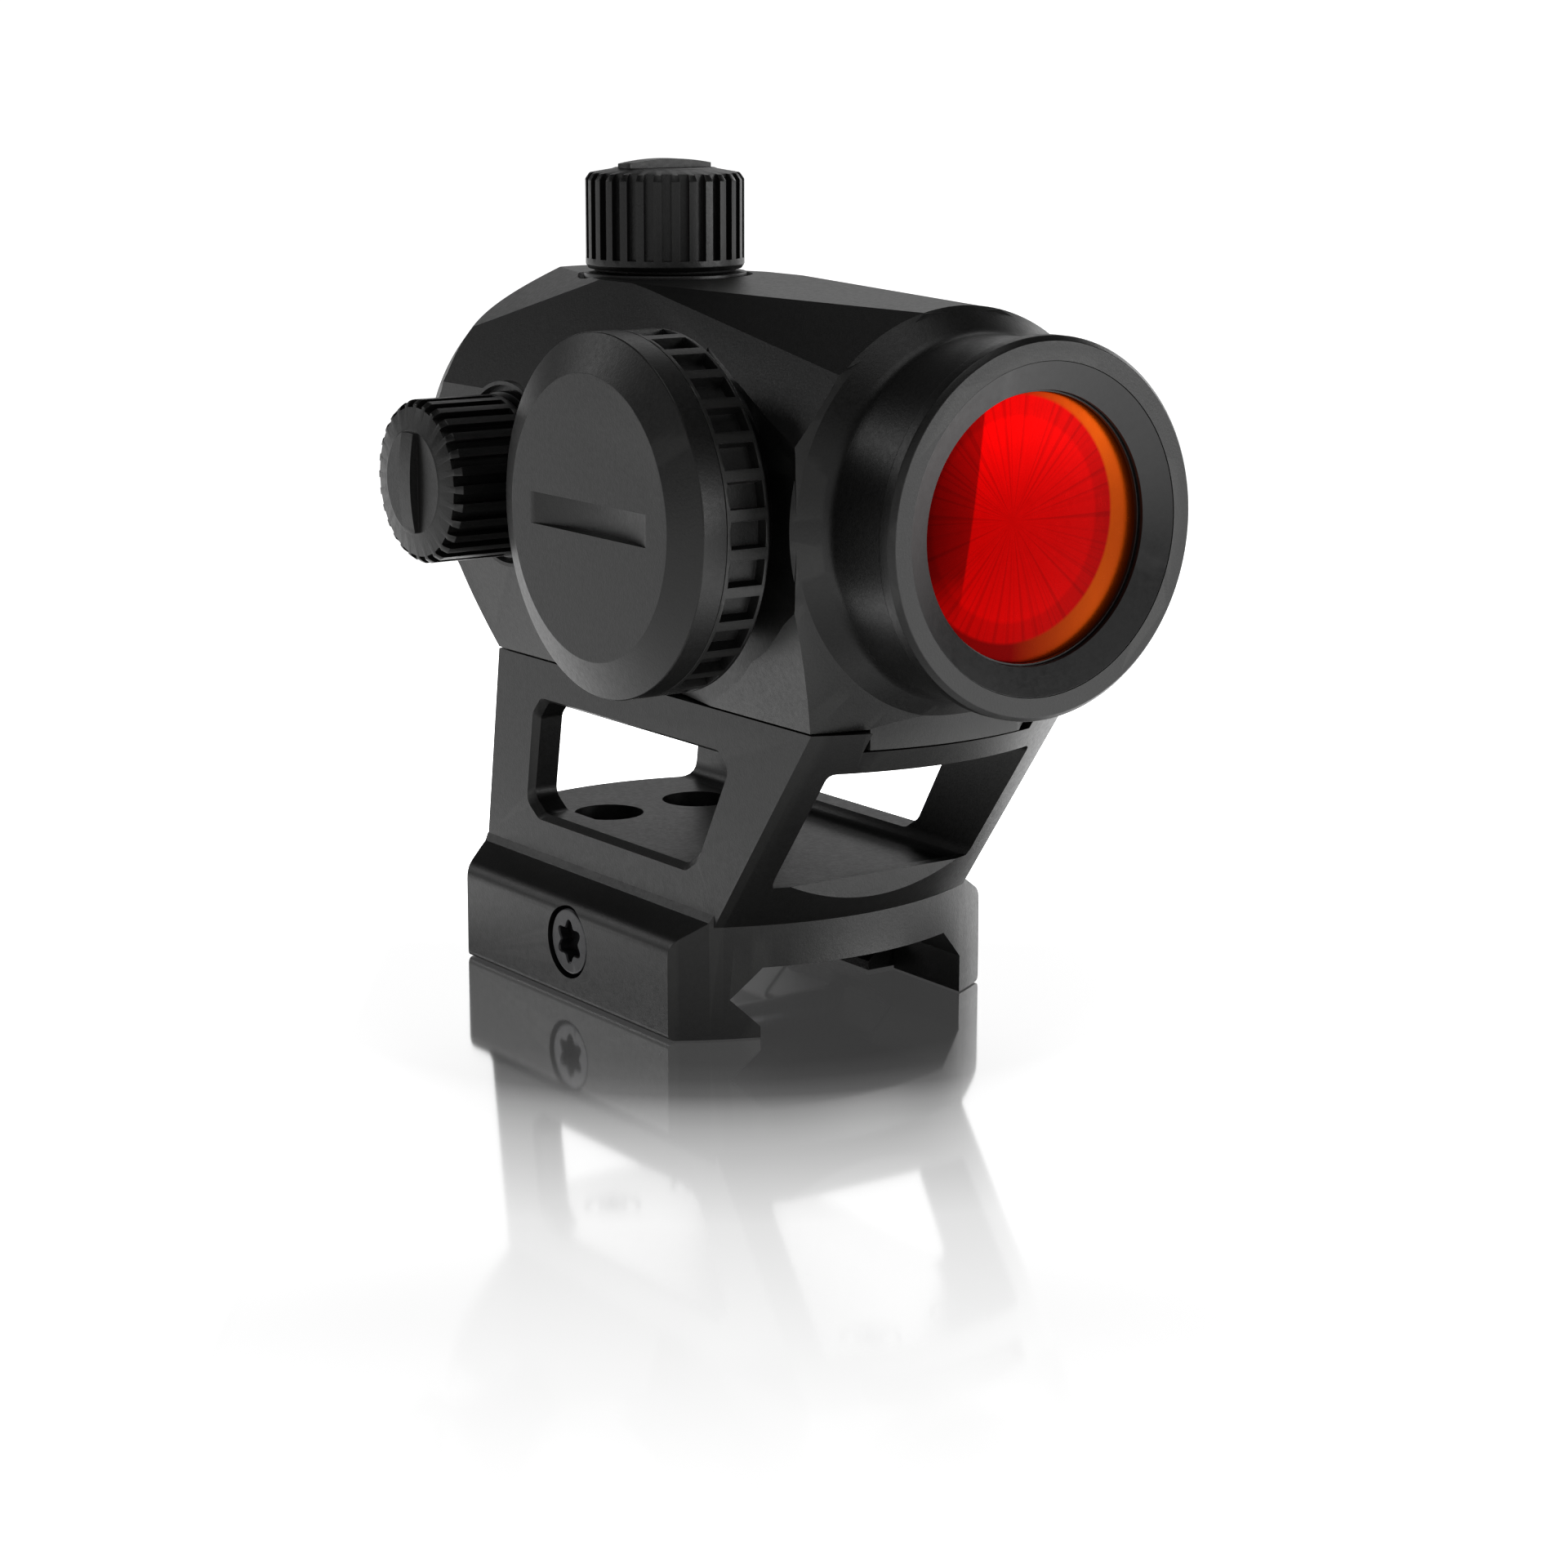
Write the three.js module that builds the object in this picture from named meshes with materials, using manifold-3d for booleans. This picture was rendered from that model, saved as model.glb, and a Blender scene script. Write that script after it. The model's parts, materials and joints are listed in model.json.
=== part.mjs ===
// Closed-tube red dot sight on a raised base for a 21.2 mm accessory rail.
// Millimetres, +Z up. The objective end faces -Y, the brightness dial is on -X.
// The origin is the centre of the rail seat, the flat that rests on top of the rail.
import * as THREE from "three";
import { mergeVertices } from "three/addons/utils/BufferGeometryUtils.js";
import Module from "manifold-3d";

const wasm = await Module();
wasm.setup();

// ---------- driving dimensions ----------
const OPTIC_Z = 35.8; // optical axis above the rail seat
const FRONT_Y = -41.18; // front face of the objective rim
const REAR_Y = 22.2; // rear face of the eyepiece rim
const RIM_R = 13.75; // objective rim
const REAR_RIM_R = 14.1;
const BORE_R = 11.4; // main bore of the housing
const END_BORE_R = 12.0; // bore at both ends
const TUBE_R = 10.4; // inner optic tube

const BASE_HALF_W = 15.18; // clamp base
const BASE_HALF_L = 20.03;
const BASE_FLOOR_Z = -5.55;
const SHOULDER_Z = 3.72;
const TOWER_HALF_W = 12.08; // riser tower
const TOWER_TOP_Z = 20.4;
const END_ARC = 0.021; // the ends are bowed: y = 0.021 x^2
const WALL_INNER_X = 9.5;
const DECK_Z = 6.6; // floor inside the tower
const ROOF_Z = 17.0; // underside of the tower's top plate

const TURRET_Y = 7.6;
const PLATEAU_Z = 51.05; // seat of the elevation turret
const BOSS_X = 15.3; // seat of the windage turret, on -X
const CAP_R = 6.43;

const DIAL_Y = -17.44;
const DIAL_R = 13.39;
const DIAL_BOSS_X = 16.0; // end of the housing's round dial boss, on -X

const SCREW_Y = -0.6; // clamp screw
const SCREW_Z = -0.9;
// Screws that hold the housing on the riser, as (x, y).
const MOUNT_SCREWS = [
  [-4.4, -27.0],
  [4.4, -27.0],
  [-4.4, 10.0],
  [4.4, 10.0],
];

// ---------- materials ----------
function paint(color, roughness, metalness) {
  return new THREE.MeshStandardMaterial({ color, roughness, metalness });
}

const anodised = paint(0x1b1b1b, 0.55, 0.6);
const anodisedDark = paint(0x131313, 0.6, 0.6);
const blackSteel = paint(0x26262a, 0.35, 0.9);
const brass = paint(0xb08d45, 0.35, 0.9);
const rubber = paint(0x0c0c0c, 0.8, 0.0);
const coatedGlass = paint(0xd00a05, 0.05, 0.1);
const clearGlass = paint(0x9fb4b8, 0.05, 0.0);
const nickel = paint(0xb9bcc0, 0.3, 0.9);
const spring = paint(0x8a8d90, 0.35, 0.9);
const board = paint(0x1f5c35, 0.6, 0.0);
const emitter = paint(0xff2010, 0.4, 0.0);

// ---------- shape helpers ----------
function solid(geometry) {
  const bare = geometry.clone();
  bare.deleteAttribute("normal");
  bare.deleteAttribute("uv");
  const merged = mergeVertices(bare, 1e-4);
  return new wasm.Manifold(
    new wasm.Mesh({
      numProp: 3,
      vertProperties: new Float32Array(merged.attributes.position.array),
      triVerts: new Uint32Array(merged.index.array),
    }),
  );
}

function geometryOf(shape) {
  const mesh = shape.getMesh();
  const geometry = new THREE.BufferGeometry();
  geometry.setAttribute("position", new THREE.BufferAttribute(mesh.vertProperties, 3));
  geometry.setIndex(new THREE.BufferAttribute(mesh.triVerts, 1));
  return geometry;
}

// A closed (radius, height) outline turned about +Z.
function turned(outline, segments = 32) {
  const points = outline.map(([r, h]) => new THREE.Vector2(r, h));
  if (outline[0][0] > 0) points.push(points[0].clone());
  if (THREE.ShapeUtils.isClockWise(points)) points.reverse();
  return solid(new THREE.LatheGeometry(points, segments).rotateX(Math.PI / 2));
}

// The same, turned about the optical axis: heights are world y.
function barrel(outline, segments = 36) {
  const heights = outline.map(([r, y]) => [r, -y]);
  const lift = new THREE.Matrix4().makeRotationX(Math.PI / 2).setPosition(0, 0, OPTIC_Z);
  return moved(turned(heights, segments), lift);
}

function moved(shape, matrix) {
  return solid(geometryOf(shape).applyMatrix4(matrix));
}

function box(x0, x1, y0, y1, z0, z1) {
  const block = new THREE.BoxGeometry(x1 - x0, y1 - y0, z1 - z0);
  return solid(block.translate((x0 + x1) / 2, (y0 + y1) / 2, (z0 + z1) / 2));
}

const AXES = {
  x: [new THREE.Vector3(0, 1, 0), new THREE.Vector3(0, 0, 1), new THREE.Vector3(1, 0, 0)],
  y: [new THREE.Vector3(0, 0, 1), new THREE.Vector3(1, 0, 0), new THREE.Vector3(0, 1, 0)],
  z: [new THREE.Vector3(1, 0, 0), new THREE.Vector3(0, 1, 0), new THREE.Vector3(0, 0, 1)],
};

// A polygon swept along an axis. Its corners are (y, z) along x, (z, x) along y, (x, y) along z.
function prism(axis, corners, from, to) {
  const shape = new THREE.Shape(corners.map(([a, b]) => new THREE.Vector2(a, b)));
  const sweep = new THREE.ExtrudeGeometry(shape, { depth: to - from, bevelEnabled: false });
  sweep.translate(0, 0, from);
  return solid(sweep.applyMatrix4(new THREE.Matrix4().makeBasis(...AXES[axis])));
}

function rod(axis, radius, from, to, a, b, segments = 16) {
  const corners = [];
  for (let i = 0; i < segments; i++) {
    const angle = (2 * Math.PI * i) / segments;
    corners.push([a + radius * Math.cos(angle), b + radius * Math.sin(angle)]);
  }
  return prism(axis, corners, from, to);
}

// Removes everything beyond the plane normal . p = normal . point.
function cutBeyond(shape, normal, point) {
  const n = new THREE.Vector3(...normal).normalize();
  const turn = new THREE.Quaternion().setFromUnitVectors(new THREE.Vector3(0, 0, 1), n);
  const slab = new THREE.BoxGeometry(300, 300, 100).translate(0, 0, 50);
  slab.applyQuaternion(turn);
  const reach = n.dot(new THREE.Vector3(...point));
  return shape.subtract(solid(slab.translate(n.x * reach, n.y * reach, n.z * reach)));
}

// Cuts a shape and its mirror image in x = 0 alike.
function cutBothSides(shape, normal, point) {
  const left = cutBeyond(shape, normal, point);
  return cutBeyond(left, [-normal[0], normal[1], normal[2]], [-point[0], point[1], point[2]]);
}

function union(shapes) {
  return shapes.reduce((sum, next) => sum.add(next));
}

const root = new THREE.Group();

function place(parent, name, shape, material) {
  const mesh = new THREE.Mesh(geometryOf(shape), material);
  mesh.name = name;
  parent.add(mesh);
  return mesh;
}

// ---------- riser with its fixed rail jaw ----------
// Plan outline between two bowed ends, at half length front and rear.
function bowedPlan(halfWidth, front, rear) {
  const corners = [];
  const steps = 8;
  for (let i = 0; i <= steps; i++) {
    const x = -halfWidth + (2 * halfWidth * i) / steps;
    corners.push([x, front + END_ARC * x * x]);
  }
  for (let i = 0; i <= steps; i++) {
    const x = halfWidth - (2 * halfWidth * i) / steps;
    corners.push([x, rear - END_ARC * x * x]);
  }
  return corners;
}

// Leans a shape: y grows by slope for each mm of z above the shoulder.
function leaned(shape, slope) {
  const shear = new THREE.Matrix4().makeShear(0, 0, 0, 0, 0, slope).setPosition(0, -slope * SHOULDER_Z, 0);
  return moved(shape, shear);
}

function makeRiser() {
  const baseSection = [
    [BASE_FLOOR_Z, -BASE_HALF_W + 0.45],
    [BASE_FLOOR_Z + 0.45, -BASE_HALF_W],
    [1.2, -BASE_HALF_W],
    [2.2, -BASE_HALF_W + 0.25],
    [2.9, -BASE_HALF_W + 0.95],
    [SHOULDER_Z, -TOWER_HALF_W],
    [SHOULDER_Z + 0.6, -TOWER_HALF_W],
    [SHOULDER_Z + 0.6, TOWER_HALF_W],
    [SHOULDER_Z, TOWER_HALF_W],
    [2.9, BASE_HALF_W - 0.95],
    [2.2, BASE_HALF_W - 0.25],
    [1.2, BASE_HALF_W],
    [BASE_FLOOR_Z + 0.45, BASE_HALF_W],
    [BASE_FLOOR_Z, BASE_HALF_W - 0.45],
    [BASE_FLOOR_Z, 11.7],
    [-2.54, 11.7],
    [0, 9.16],
    [0, -8.58],
    [-2.42, -11.0],
    [-4.67, -8.75],
    [BASE_FLOOR_Z, -8.75],
  ];
  const outline = bowedPlan(BASE_HALF_W, -BASE_HALF_L, BASE_HALF_L);
  const plan = prism("z", outline, BASE_FLOOR_Z - 1, TOWER_TOP_Z + 5);
  const base = prism("y", baseSection, -30, 30).intersect(plan);

  const frontLean = leaned(
    prism("z", bowedPlan(TOWER_HALF_W, -20.3, 60), SHOULDER_Z - 1, TOWER_TOP_Z),
    (-32.63 + 20.3) / (TOWER_TOP_Z - SHOULDER_Z),
  );
  const rearLean = leaned(
    prism("z", bowedPlan(TOWER_HALF_W, -80, 20.0), SHOULDER_Z - 1, TOWER_TOP_Z),
    (17.65 - 20.0) / (TOWER_TOP_Z - SHOULDER_Z),
  );
  let tower = frontLean.intersect(rearLean);

  // The through passage along Y, its lower corners rounded, and the boss channel in the roof.
  const passage = prism(
    "y",
    [
      [DECK_Z, -WALL_INNER_X + 1.2],
      [DECK_Z + 0.35, -WALL_INNER_X + 0.35],
      [DECK_Z + 1.2, -WALL_INNER_X],
      [ROOF_Z - 0.6, -WALL_INNER_X],
      [ROOF_Z, -WALL_INNER_X + 0.6],
      [ROOF_Z, WALL_INNER_X - 0.6],
      [ROOF_Z - 0.6, WALL_INNER_X],
      [DECK_Z + 1.2, WALL_INNER_X],
      [DECK_Z + 0.35, WALL_INNER_X - 0.35],
      [DECK_Z, WALL_INNER_X - 1.2],
    ],
    -50,
    50,
  );
  const sideWindow = prism(
    "x",
    [
      [7.9, 17.0],
      [-17.6, 17.0],
      [-18.6, 16.2],
      [-18.5, 15.4],
      [-14.2, 8.3],
      [-13.0, 7.5],
      [8.5, 7.5],
      [10.0, 8.7],
      [9.1, 15.8],
    ],
    -30,
    30,
  );
  const channel = box(-7.8, 7.8, -50, 50, TOWER_TOP_Z - 1.7, TOWER_TOP_Z + 1);
  tower = tower.subtract(passage).subtract(sideWindow).subtract(channel);

  let riser = base.add(tower);

  // Pocket for the moving clamp bar, open towards the rail groove and downwards.
  riser = riser.subtract(box(8.0, 14.3, SCREW_Y - 7.8, SCREW_Y + 7.8, BASE_FLOOR_Z - 1, -0.05));
  riser = riser.subtract(box(10.9, 14.3, SCREW_Y - 7.8, SCREW_Y + 7.8, -1, 1.9));
  // Clamp screw: head counterbore, clearance hole and the groove it leaves across the seat.
  riser = riser.subtract(rod("x", 2.9, -20, -13.0, SCREW_Y, SCREW_Z));
  riser = riser.subtract(rod("x", 1.85, -14, 12, SCREW_Y, SCREW_Z));
  for (const [x, y] of MOUNT_SCREWS) {
    riser = riser.subtract(rod("z", 2.45, ROOF_Z - 0.5, ROOF_Z + 0.95, x, y));
    riser = riser.subtract(rod("z", 1.75, ROOF_Z + 0.5, TOWER_TOP_Z + 1, x, y, 12));
    if (y > 0) riser = riser.subtract(rod("z", 2.9, BASE_FLOOR_Z - 1, DECK_Z + 1, x, y));
  }
  return riser;
}

place(root, "riser_base", makeRiser(), anodised);

// Moving jaw: a bar with its own V, drawn towards the fixed jaw by the clamp screw.
function makeClampBar() {
  const section = [
    [-0.35, 9.6],
    [-2.4, 11.65],
    [-4.7, 9.35],
    [BASE_FLOOR_Z + 0.1, 9.35],
    [BASE_FLOOR_Z + 0.1, 12.85],
    [1.55, 12.85],
    [1.55, 11.25],
    [-0.35, 11.25],
  ];
  const bar = prism("y", section, SCREW_Y - 7.45, SCREW_Y + 7.45);
  return bar.subtract(rod("x", 1.8, 5, 15, SCREW_Y, SCREW_Z));
}

place(root, "clamp_bar", makeClampBar(), anodised);

// A six-lobed driver recess, as a star.
function lobedRecess(axis, outer, inner, from, to, a, b) {
  const corners = [];
  for (let i = 0; i < 24; i++) {
    const angle = (2 * Math.PI * i) / 24;
    const radius = (outer + inner) / 2 + ((outer - inner) / 2) * Math.cos(6 * angle);
    corners.push([a + radius * Math.cos(angle), b + radius * Math.sin(angle)]);
  }
  return prism(axis, corners, from, to);
}

function makeClampScrew() {
  const head = rod("x", 2.65, -15.0, -13.2, SCREW_Y, SCREW_Z);
  const shank = rod("x", 1.5, -13.3, 12.6, SCREW_Y, SCREW_Z);
  return head.add(shank).subtract(lobedRecess("x", 1.6, 1.15, -16, -13.9, SCREW_Y, SCREW_Z));
}

place(root, "clamp_screw", makeClampScrew(), blackSteel);

function makeMountScrew(x, y) {
  const head = rod("z", 2.2, ROOF_Z + 0.1, ROOF_Z + 0.85, x, y);
  const shank = rod("z", 1.4, ROOF_Z + 0.8, TOWER_TOP_Z + 2.2, x, y, 12);
  return head.add(shank).subtract(lobedRecess("z", 1.3, 0.95, ROOF_Z - 1, ROOF_Z + 0.5, x, y));
}

MOUNT_SCREWS.forEach(([x, y], i) => place(root, `mount_screw_${i + 1}`, makeMountScrew(x, y), blackSteel));

// ---------- housing ----------
const HOUSING_FLOOR_Z = TOWER_TOP_Z + 0.3;

function makeHousing() {
  // Wide front body whose sides narrow towards the rear.
  let body = box(-15, 13.4, -50, 4, HOUSING_FLOOR_Z, 60);
  body = cutBeyond(body, [-0.977, 0.2135, 0], [-14.69, -30.88, 0]);
  // Rear body that carries the windage turret on its flat -X side.
  let rear = box(-BOSS_X, 13.4, -0.6, 40, HOUSING_FLOOR_Z, 60);
  rear = cutBothSides(rear, [-0.769, 0, 0.639], [-8.07, 0, 51.07]);
  body = body.add(rear);
  body = cutBeyond(body, [0, 0, 1], [0, 0, PLATEAU_Z]);
  body = cutBeyond(body, [0, -0.0146, 1], [0, -0.6, PLATEAU_Z]);
  body = cutBothSides(body, [-0.463, -0.082, 0.882], [-8.05, -0.6, 51.0]);
  body = cutBothSides(body, [-0.797, -0.01, 0.604], [-14.69, -30.88, 41.73]);
  body = cutBothSides(body, [-0.452, 0.165, 0.876], [-8.1, 4.6, 51.07]);
  body = cutBothSides(body, [-0.963, 0, -0.27], [-TOWER_HALF_W, 0, 20.57]);
  // Round tube, dial boss and windage boss, then the turned cones of both ends.
  body = body.add(barrel([[0, -34], [13.1, -34], [13.1, 21], [0, 21]]));
  body = body.add(rod("x", 10.7, -DIAL_BOSS_X, -5, DIAL_Y, OPTIC_Z, 30));
  body = body.add(rod("x", 7.4, -BOSS_X, -5, TURRET_Y, OPTIC_Z, 28));
  body = body.intersect(
    barrel([
      [0, -32.9],
      [13.1, -32.6],
      [14.69, -31.61],
      [19.6, -29.4],
      [32, -23.8],
      [32, 2],
      [19.4, 14.6],
      [16.4, 17.6],
      [REAR_RIM_R, REAR_Y],
      [0, REAR_Y],
    ]),
  );
  body = body.add(
    barrel([
      [0, FRONT_Y],
      [13.39, FRONT_Y],
      [RIM_R, -40.8],
      [RIM_R, -39.8],
      [13.4, -39.4],
      [13.3, -33.6],
      [13.5, -32.9],
      [14.0, -32.3],
      [14.6, -31.7],
      [0, -31.7],
    ]),
  );
  // Boss that keys the housing into the riser's channel.
  body = body.add(prism("z", bowedPlan(7.5, -31.9, 14.5), TOWER_TOP_Z - 1.4, HOUSING_FLOOR_Z + 1));

  // Through bore with wider ends.
  body = body.subtract(
    barrel([
      [0, -50],
      [END_BORE_R, -50],
      [END_BORE_R, -31],
      [BORE_R, -30.4],
      [BORE_R, 17.2],
      [END_BORE_R, 17.2],
      [END_BORE_R, 50],
      [0, 50],
    ]),
  );
  // Turret seats.
  body = body.subtract(rod("z", 7.1, PLATEAU_Z - 0.75, PLATEAU_Z + 5, 0, TURRET_Y, 28));
  body = body.subtract(rod("z", 4.9, 44, PLATEAU_Z + 5, 0, TURRET_Y, 24));
  body = body.subtract(rod("x", 7.1, -BOSS_X - 5, -BOSS_X + 0.75, TURRET_Y, OPTIC_Z, 28));
  body = body.subtract(rod("x", 4.9, -BOSS_X - 5, -8, TURRET_Y, OPTIC_Z, 24));
  // Pocket for the switch board behind the dial, and threaded holes for the mounting screws.
  body = body.subtract(rod("x", 9.2, -DIAL_BOSS_X - 5, -13.4, DIAL_Y, OPTIC_Z, 28));
  for (const [x, y] of MOUNT_SCREWS) body = body.subtract(rod("z", 1.7, 15, TOWER_TOP_Z + 2.6, x, y, 12));
  return body;
}

place(root, "housing", makeHousing(), anodised);

// ---------- optics ----------
// A ring of round section about the optical axis.
function seal(radius, minor, y) {
  const outline = [];
  for (let i = 0; i < 6; i++) {
    const angle = (2 * Math.PI * i) / 6;
    outline.push([radius + minor * Math.cos(angle), y + minor * Math.sin(angle)]);
  }
  return outline;
}

place(
  root,
  "objective_bezel",
  barrel([
    [9.88, -40.17],
    [11.8, -41.1],
    [11.8, -38.2],
    [11.1, -38.2],
    [11.1, -39.7],
    [9.88, -39.7],
  ]),
  anodisedDark,
);
place(root, "objective_seal", barrel(seal(11.0, 0.3, -37.7), 28), rubber);
place(
  root,
  "optic_tube",
  barrel([
    [10.1, -39.4],
    [TUBE_R, -39.1],
    [TUBE_R, 13.0],
    [9.5, 13.0],
    [9.5, -34.2],
    [8.8, -34.6],
    [8.8, -35.4],
    [9.7, -35.4],
    [9.7, -39.4],
  ]),
  anodisedDark,
);
place(
  root,
  "objective_lens",
  barrel([
    [0, -38.75],
    [3, -38.7],
    [6, -38.5],
    [9.45, -38.1],
    [9.45, -36.3],
    [6, -36.0],
    [3, -35.8],
    [0, -35.75],
  ]),
  coatedGlass,
);
place(root, "lens_retainer", barrel([[8.9, -39.3], [9.5, -39.3], [9.5, -38.5], [8.9, -38.7]]), anodisedDark);
place(
  root,
  "gimbal_ring",
  barrel([[10.7, -37.1], [11.7, -37.1], [11.7, -33.6], [10.7, -33.6]], 32),
  nickel,
);
place(root, "emitter_block", box(-9.2, -6.9, 6.0, 9.6, OPTIC_Z - 1.6, OPTIC_Z + 1.6), anodisedDark);
place(root, "emitter_diode", box(-8.5, -7.3, 5.3, 5.9, OPTIC_Z - 0.6, OPTIC_Z + 0.6), emitter);
place(root, "eyepiece_lens", barrel([[0, 18.4], [11.5, 18.4], [11.5, 20.2], [0, 20.2]]), clearGlass);
place(root, "eyepiece_seal", barrel(seal(11.55, 0.28, 17.85), 28), rubber);
place(
  root,
  "eyepiece_ring",
  barrel([[10.2, 20.5], [11.8, 20.5], [11.8, 22.0], [10.9, 22.0], [10.2, 21.4]]),
  anodisedDark,
);

// Bowed leaf that presses the tube towards both adjusting screws.
function makeBiasSpring() {
  const corners = [];
  const steps = 10;
  const sweep = (radius, i) => {
    const angle = -Math.PI / 4 - 0.6 + (1.2 * i) / steps;
    return [OPTIC_Z + radius * Math.sin(angle), radius * Math.cos(angle)];
  };
  for (let i = 0; i <= steps; i++) corners.push(sweep(11.06, i));
  for (let i = steps; i >= 0; i--) corners.push(sweep(11.26, i));
  return prism("y", corners, 4.0, 11.5);
}

place(root, "bias_spring", makeBiasSpring(), spring);

// ---------- turrets, built along +Z from their seat ----------
function torus(radius, minor, height) {
  return turned(seal(radius, minor, height), 24);
}

function makeTurretCap() {
  let cap = turned([
    [0, 8.49],
    [4.06, 8.49],
    [6.084, 8.09],
    [CAP_R, 7.59],
    [CAP_R, 0.8],
    [6.2, 0.5],
    [5.95, 0.5],
    [5.95, 0.95],
    [4.9, 0.95],
    [4.9, 6.7],
    [0, 6.7],
  ], 28);
  const grooves = [];
  for (let i = 0; i < 28; i++) {
    const groove = new THREE.BoxGeometry(1.2, 0.92, 9).translate(CAP_R + 0.15, 0, 1.35 + 4.5);
    grooves.push(solid(groove.rotateZ((2 * Math.PI * (i + 0.5)) / 28)));
  }
  cap = cap.subtract(union(grooves));
  // Raised blade across the face, its top an arc.
  const blade = [];
  for (let i = 0; i <= 8; i++) {
    const x = -3.9 + (7.8 * i) / 8;
    blade.push([9.2 - 0.024 * x * x, x]);
  }
  blade.push([8.0, 3.9], [8.0, -3.9]);
  return cap.add(prism("y", blade, -0.9, 0.9));
}

function makeTurret(parent, prefix) {
  place(parent, `${prefix}_cap`, makeTurretCap(), anodised);
  place(parent, `${prefix}_cap_seal`, torus(5.55, 0.26, 0.52), rubber);
  const collar = turned([
    [3.1, -3.3],
    [4.6, -3.3],
    [4.6, -0.45],
    [6.6, -0.45],
    [6.6, 0.2],
    [4.6, 0.2],
    [4.6, 5.9],
    [3.1, 5.9],
  ], 28);
  place(parent, `${prefix}_collar`, collar, anodisedDark);
  const screw = turned([[0, -4.4], [1.2, -4.4], [1.7, -3.9], [2.8, -3.9], [2.8, 5.2], [0, 5.2]], 18);
  place(parent, `${prefix}_screw`, screw.subtract(box(-4, 4, -0.45, 0.45, 4.4, 6)), brass);
}

const elevation = new THREE.Group();
elevation.position.set(0, TURRET_Y, PLATEAU_Z);
root.add(elevation);
makeTurret(elevation, "elevation");

const windage = new THREE.Group();
windage.position.set(-BOSS_X, TURRET_Y, OPTIC_Z);
windage.rotation.y = -Math.PI / 2;
root.add(windage);
makeTurret(windage, "windage");

// ---------- brightness dial and battery, built along +Z, which lies along -X ----------
const dial = new THREE.Group();
dial.position.set(0, DIAL_Y, OPTIC_Z);
dial.rotation.y = -Math.PI / 2;
root.add(dial);

place(dial, "switch_board", turned([[0, 14.2], [8.8, 14.2], [8.8, 15.0], [0, 15.0]], 32), board);
place(
  dial,
  "battery_holder",
  turned([[0, 16.3], [10.8, 16.3], [10.8, 19.6], [10.3, 19.6], [10.3, 17.1], [0, 17.1]], 30),
  anodisedDark,
);
const coinCell = [[0, 17.4], [9.8, 17.4], [10, 17.6], [10, 20.4], [9.8, 20.6], [0, 20.6]];
place(dial, "battery", turned(coinCell, 30), nickel);
const contactLeaf = [[0, 21.2], [1.5, 21.2], [4.5, 20.95], [4.5, 20.75], [1.5, 21.0], [0, 21.0]];
place(dial, "battery_contact", turned(contactLeaf, 20), spring);

function makeBrightnessRing() {
  const ring = turned([
    [11.1, 16.4],
    [13.1, 16.4],
    [DIAL_R, 16.6],
    [DIAL_R, 20.2],
    [12.5, 20.2],
    [12.5, 19.0],
    [11.1, 19.0],
  ], 30);
  const pockets = [];
  for (let i = 0; i < 30; i++) {
    const pocket = new THREE.BoxGeometry(1.2, 2.0, 3.0).translate(DIAL_R + 0.05, 0, 18.45);
    pockets.push(solid(pocket.rotateZ((2 * Math.PI * (i + 0.5)) / 30)));
  }
  return ring.subtract(union(pockets));
}

place(dial, "brightness_ring", makeBrightnessRing(), anodised);
place(dial, "battery_cap_seal", torus(12.12, 0.26, 19.75), rubber);

function makeBatteryCap() {
  const cap = turned([
    [0, 23.397],
    [10.507, 23.397],
    [DIAL_R, 22.209],
    [DIAL_R, 20.35],
    [11.75, 20.35],
    [11.75, 19.25],
    [11.2, 19.25],
    [11.2, 21.4],
    [0, 21.4],
  ], 48);
  // Coin slot cut by a large disc, so its floor is an arc.
  const slot = [];
  for (let i = 0; i <= 12; i++) {
    const y = -7.87 + (15.74 * i) / 12;
    slot.push([y, 23.397 - 1.25 * (1 - (y / 7.87) ** 2)]);
  }
  slot.push([7.87, 25], [-7.87, 25]);
  return cap.subtract(prism("x", slot, -1.19, 1.19));
}

place(dial, "battery_cap", makeBatteryCap(), anodised);

export default root;
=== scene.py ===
"""Studio view of a red dot sight on its riser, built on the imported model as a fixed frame.

Shapes are made in millimetres and turned into metres when a piece is finished.
The objective end faces -Y, the brightness dial and the windage turret are on -X.
"""

import json
import math

import bmesh
import bpy
from mathutils import Matrix, Vector


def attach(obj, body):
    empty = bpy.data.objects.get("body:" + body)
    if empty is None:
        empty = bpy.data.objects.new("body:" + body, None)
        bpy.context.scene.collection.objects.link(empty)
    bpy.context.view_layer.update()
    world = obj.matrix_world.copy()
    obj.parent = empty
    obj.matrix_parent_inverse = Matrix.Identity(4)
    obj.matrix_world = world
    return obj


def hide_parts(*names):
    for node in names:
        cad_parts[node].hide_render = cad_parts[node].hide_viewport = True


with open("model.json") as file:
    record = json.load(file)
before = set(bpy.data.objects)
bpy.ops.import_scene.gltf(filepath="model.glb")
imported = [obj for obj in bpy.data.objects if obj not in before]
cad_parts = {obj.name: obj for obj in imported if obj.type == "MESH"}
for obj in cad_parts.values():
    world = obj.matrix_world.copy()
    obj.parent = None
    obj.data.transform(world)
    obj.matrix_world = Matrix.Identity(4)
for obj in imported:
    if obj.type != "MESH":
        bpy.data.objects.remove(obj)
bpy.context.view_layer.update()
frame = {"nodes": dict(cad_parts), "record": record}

# ---------- driving dimensions, in millimetres ----------
# Heights are above the rail seat; the objective's optical axis runs along Y at OPTIC_Z.
OPTIC_Z = 35.8
BASE_HALF_W = 15.18
BASE_HALF_L = 20.03
BASE_FLOOR_Z = -5.55
SHOULDER_Z = 3.72
TOWER_HALF_W = 12.08
TOWER_TOP_Z = 20.42
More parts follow.
